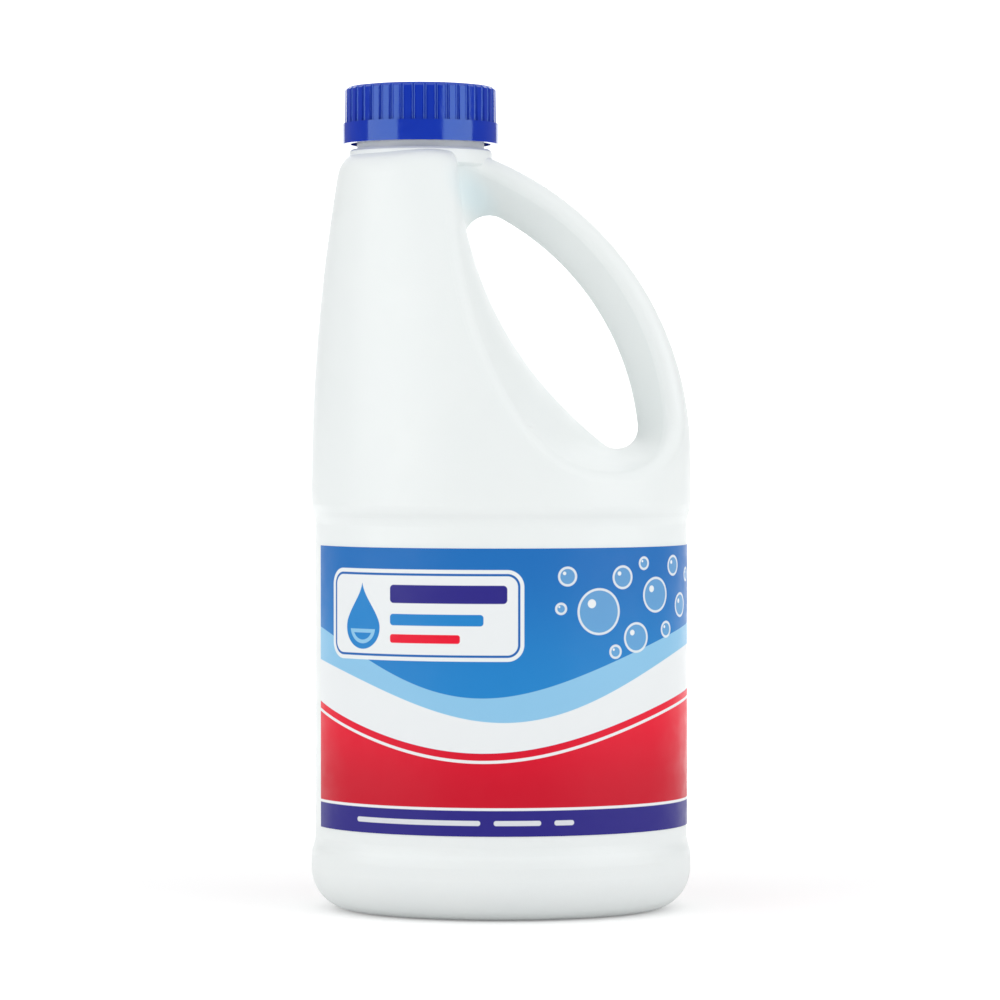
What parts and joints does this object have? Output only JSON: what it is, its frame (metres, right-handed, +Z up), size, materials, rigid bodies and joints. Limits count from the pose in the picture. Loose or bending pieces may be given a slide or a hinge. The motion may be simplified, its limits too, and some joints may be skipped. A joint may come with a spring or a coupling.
{
  "type": "bleach bottle",
  "caption": "Blow-moulded oval bleach bottle with a hollow side handle and finger gap, a recessed label panel, a short neck and a ribbed screw cap that unscrews and lifts off.",
  "frame": {"origin": "centre of the base on the surface that the bottle stands on", "axes": "+Z up along the neck, +X towards the handle, -Y towards the front of the label"},
  "size_m": [0.1153, 0.088, 0.2493],
  "materials": {
    "bottle_plastic": "white blow-moulded HDPE, soft sheen",
    "cap_plastic": "deep blue moulded PP, glossy",
    "liner_foam": "white foamed PE",
    "label_film": "printed film, satin"
  },
  "bodies": {
    "bottle": {"bottle": "bottle_plastic", "label": "label_film"},
    "seal": {"cap_liner": "liner_foam"},
    "cap": {"cap": "cap_plastic"}
  },
  "joints": [
    {"name": "cap_lift", "type": "slide", "parent": "bottle", "child": "seal", "axis": [0, 0, 1], "range_m": [0, 0.017]},
    {"name": "cap_turn", "type": "hinge", "parent": "seal", "child": "cap", "pos_m": [-0.0244, 0, 0.2321], "axis": [0, 0, 1], "range_deg": [0, 1440]}
  ],
  "couplings": [
    {"joint": "cap_lift", "follows": "cap_turn", "m_per_rad": 0.00067375}
  ]
}
